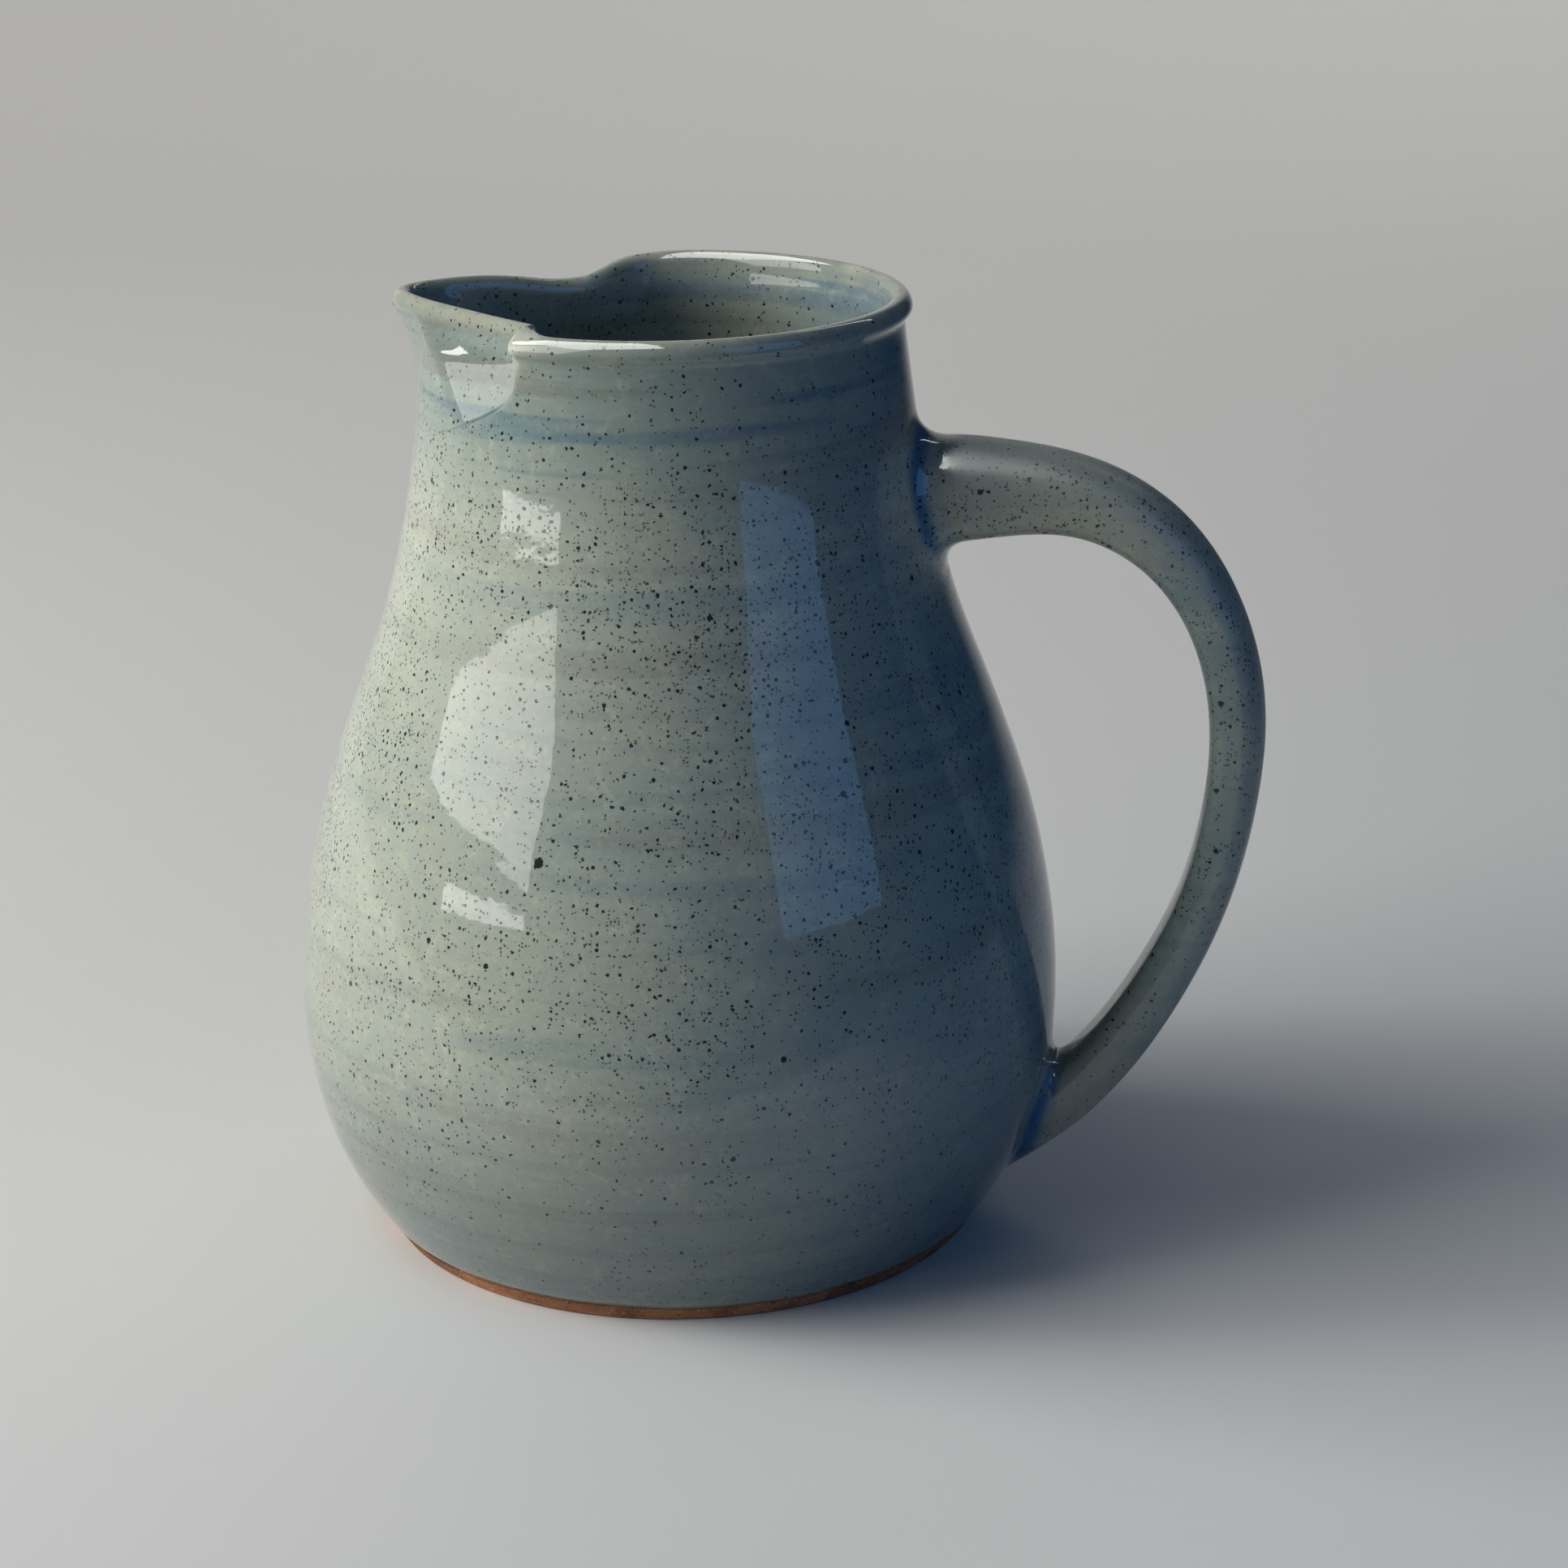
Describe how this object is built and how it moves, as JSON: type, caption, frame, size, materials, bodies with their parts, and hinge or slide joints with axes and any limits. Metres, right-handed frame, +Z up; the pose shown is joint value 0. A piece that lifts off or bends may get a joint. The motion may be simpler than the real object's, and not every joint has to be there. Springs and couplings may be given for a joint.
{
  "type": "ceramic pitcher",
  "caption": "Pear-shaped stoneware pouring pitcher with a drawn-out beak spout and a looped strap handle opposite it, glazed, on a flat unglazed foot.",
  "frame": {"origin": "centre of the round foot, on the plane that it rests on", "axes": "+Z up; the spout points to -X and the handle to +X; the pitcher is symmetric about the XZ plane"},
  "size_m": [0.214, 0.1692, 0.2084],
  "materials": {
    "clay": "bare fired stoneware, matt, with small iron pits",
    "glaze": "glossy grey-green glaze with iron specks"
  },
  "bodies": {
    "root": {"body": "clay", "spout": "clay", "handle": "clay", "upper_handle_coil": "clay", "lower_handle_coil": "clay", "glaze_coat": "glaze"}
  },
  "joints": []
}
